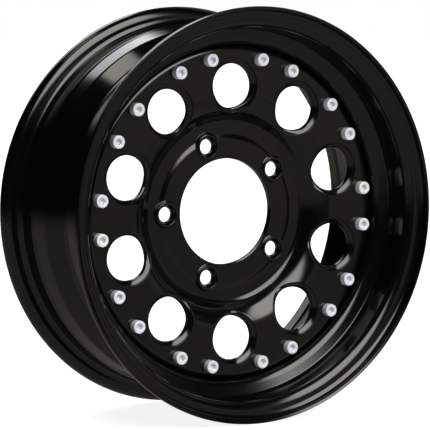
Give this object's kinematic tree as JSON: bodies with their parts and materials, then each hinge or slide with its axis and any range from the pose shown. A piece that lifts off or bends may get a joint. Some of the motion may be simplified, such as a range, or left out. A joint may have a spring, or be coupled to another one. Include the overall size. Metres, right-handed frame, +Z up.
{
  "type": "wheel",
  "caption": "Steel off-road car wheel: dished disc with round flanged windows, a ring of paired cap screws near its edge, and a five-stud hub face.",
  "frame": {"origin": "centre of the hub mounting face, on the axle's line", "axes": "Y along the axle with the outer side of the wheel towards -Y, +Z up, +X to the right seen from the outer side"},
  "size_m": [0.4148, 0.1652, 0.4146],
  "materials": {
    "rim": "gloss",
    "disc": "gloss",
    "weld": "gloss",
    "screw": "zinc plated",
    "nut": "zinc plated"
  },
  "bodies": {
    "root": {"rim": "rim", "disc": "disc", "disc_welds": "weld", "cap_screw_01": "screw", "cap_screw_02": "screw", "cap_screw_03": "screw", "cap_screw_04": "screw", "cap_screw_05": "screw", "cap_screw_06": "screw", "cap_screw_07": "screw", "cap_screw_08": "screw", "cap_screw_09": "screw", "cap_screw_10": "screw", "cap_screw_11": "screw", "cap_screw_12": "screw", "cap_screw_13": "screw", "cap_screw_14": "screw", "cap_screw_15": "screw", "cap_screw_16": "screw", "cap_screw_17": "screw", "cap_screw_18": "screw", "cap_screw_19": "screw", "cap_screw_20": "screw", "hex_nut_01": "nut", "hex_nut_02": "nut", "hex_nut_03": "nut", "hex_nut_04": "nut", "hex_nut_05": "nut", "hex_nut_06": "nut", "hex_nut_07": "nut", "hex_nut_08": "nut", "hex_nut_09": "nut", "hex_nut_10": "nut", "hex_nut_11": "nut", "hex_nut_12": "nut", "hex_nut_13": "nut", "hex_nut_14": "nut", "hex_nut_15": "nut", "hex_nut_16": "nut", "hex_nut_17": "nut", "hex_nut_18": "nut", "hex_nut_19": "nut", "hex_nut_20": "nut"}
  },
  "joints": []
}
